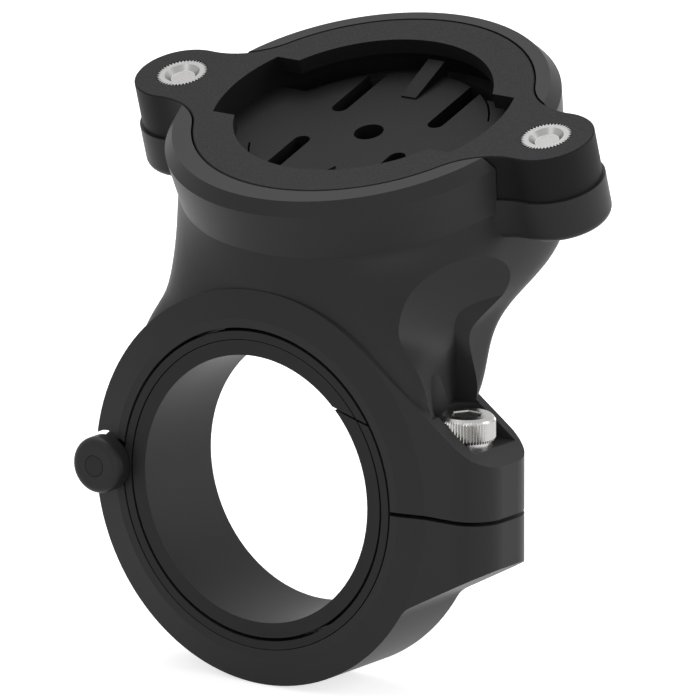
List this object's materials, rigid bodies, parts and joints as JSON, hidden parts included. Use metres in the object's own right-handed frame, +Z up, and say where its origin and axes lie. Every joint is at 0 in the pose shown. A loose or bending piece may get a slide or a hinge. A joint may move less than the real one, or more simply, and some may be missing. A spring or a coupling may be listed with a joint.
{
  "type": "bike computer mount",
  "caption": "Hinged handlebar clamp with split sleeves and a neck leaning forward to a tilted head that holds a quarter-turn socket plate.",
  "frame": {"origin": "on the handlebar's axis, halfway along the clamp's width", "axes": "+Y along the handlebar away from the clamp's front face, +Z up towards the head, +X towards the clamp screw"},
  "size_m": [0.0524, 0.0387, 0.0585],
  "materials": {
    "body_plastic": "matte black, faint moulded grain",
    "plate_plastic": "matte black, fine grain on the top face",
    "sleeve_plastic": "satin black",
    "black_steel": "matte black coating",
    "bright_steel": "bright plated steel",
    "insert_metal": "satin nickel, knurled rim"
  },
  "bodies": {
    "upper": {"mount_body": "body_plastic", "hinge_pin": "black_steel", "outer_sleeve": "sleeve_plastic", "inner_sleeve": "sleeve_plastic", "socket_plate": "plate_plastic", "ear_insert_left": "insert_metal", "ear_insert_right": "insert_metal", "ear_screw_left": "bright_steel", "ear_screw_right": "bright_steel"},
    "jaw": {"clamp_jaw": "body_plastic", "clamp_nut": "insert_metal"},
    "screw": {"clamp_screw": "bright_steel", "screw_washer": "bright_steel"}
  },
  "joints": [
    {"name": "jaw_hinge", "type": "hinge", "parent": "upper", "child": "jaw", "pos_m": [-0.0175, 0, 0], "axis": [0, 1, 0], "range_deg": [0, 75]},
    {"name": "screw_slide", "type": "slide", "parent": "upper", "child": "screw", "axis": [0, 0, 1], "range_m": [0, 0.0105]}
  ],
  "couplings": [
    {"joint": "screw_slide", "follows": "jaw_hinge", "m_per_rad": 0.008}
  ]
}
